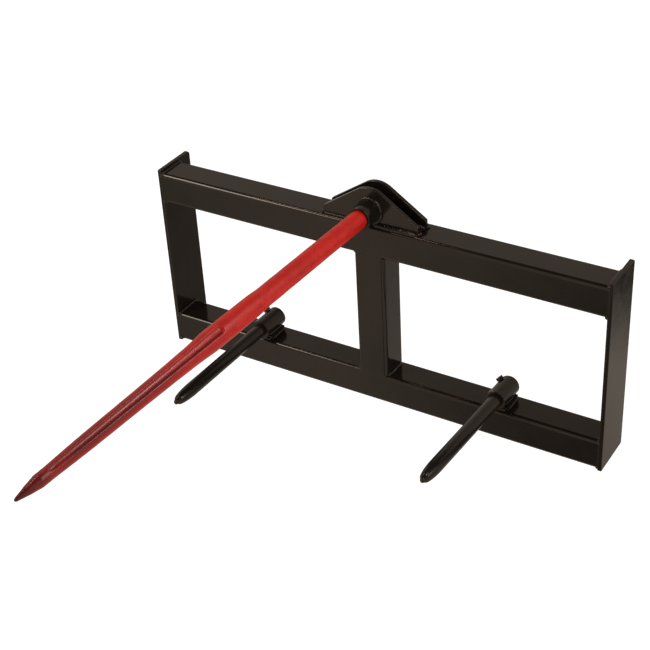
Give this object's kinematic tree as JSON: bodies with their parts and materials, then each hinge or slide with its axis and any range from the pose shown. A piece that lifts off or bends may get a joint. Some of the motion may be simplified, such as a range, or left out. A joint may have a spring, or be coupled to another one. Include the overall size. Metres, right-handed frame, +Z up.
{
  "type": "bale spear frame",
  "caption": "Quick-coupler frame of square tube with a long tapered hay spear on a mast and short stabilizer tines beside it, for lifting round bales with a skid steer loader.",
  "frame": {"origin": "centre of the frame on its rear face, which the loader's coupler bears on, midway across and midway up the end plates", "axes": "+Y to the rear, towards the loader; the spears point along -Y; +Z up; +X to the right as seen by someone standing in front of the spears' tips and looking along +Y at the frame"},
  "size_m": [1.143, 1.257, 0.5622],
  "materials": {
    "frame_paint": "gloss",
    "tine_paint": "semi-gloss",
    "spear_paint": "semi-gloss",
    "hardware": "zinc plated",
    "bolt_paint": "semi-gloss"
  },
  "bodies": {
    "frame": {"top_tube": "frame_paint", "bottom_tube": "frame_paint", "center_upright": "frame_paint", "left_end_plate": "frame_paint", "right_end_plate": "frame_paint", "hook_flange": "frame_paint", "latch_flange": "frame_paint", "mast_front_plate": "frame_paint", "mast_back_plate": "frame_paint", "spear_sleeve": "frame_paint", "left_saddle": "frame_paint", "right_saddle": "frame_paint", "left_stabilizer_sleeve": "frame_paint", "right_stabilizer_sleeve": "frame_paint"},
    "spear": {"main_spear": "spear_paint"},
    "nut": {"spear_nut": "hardware", "spear_washer": "hardware"},
    "left_tine": {"left_stabilizer_tine": "tine_paint"},
    "right_tine": {"right_stabilizer_tine": "tine_paint"},
    "left_bolt": {"left_set_bolt": "bolt_paint"},
    "right_bolt": {"right_set_bolt": "bolt_paint"}
  },
  "joints": [
    {"name": "spear_slide", "type": "slide", "parent": "frame", "child": "spear", "axis": [0, -0.9993, 0.0384], "range_m": [0, 0.135]},
    {"name": "nut_back_off", "type": "slide", "parent": "frame", "child": "nut", "axis": [0, 0.9993, -0.0384], "range_m": [0, 0.03]},
    {"name": "left_tine_slide", "type": "slide", "parent": "frame", "child": "left_tine", "axis": [0, -0.9995, 0.0314], "range_m": [0, 0.078]},
    {"name": "right_tine_slide", "type": "slide", "parent": "frame", "child": "right_tine", "axis": [0, -0.9978, 0.0663], "range_m": [0, 0.078]},
    {"name": "left_bolt_back_off", "type": "slide", "parent": "frame", "child": "left_bolt", "axis": [-0.7071, 0.0222, 0.7068], "range_m": [0, 0.007]},
    {"name": "right_bolt_back_off", "type": "slide", "parent": "frame", "child": "right_bolt", "axis": [-0.7071, 0.0469, 0.7056], "range_m": [0, 0.007]}
  ]
}
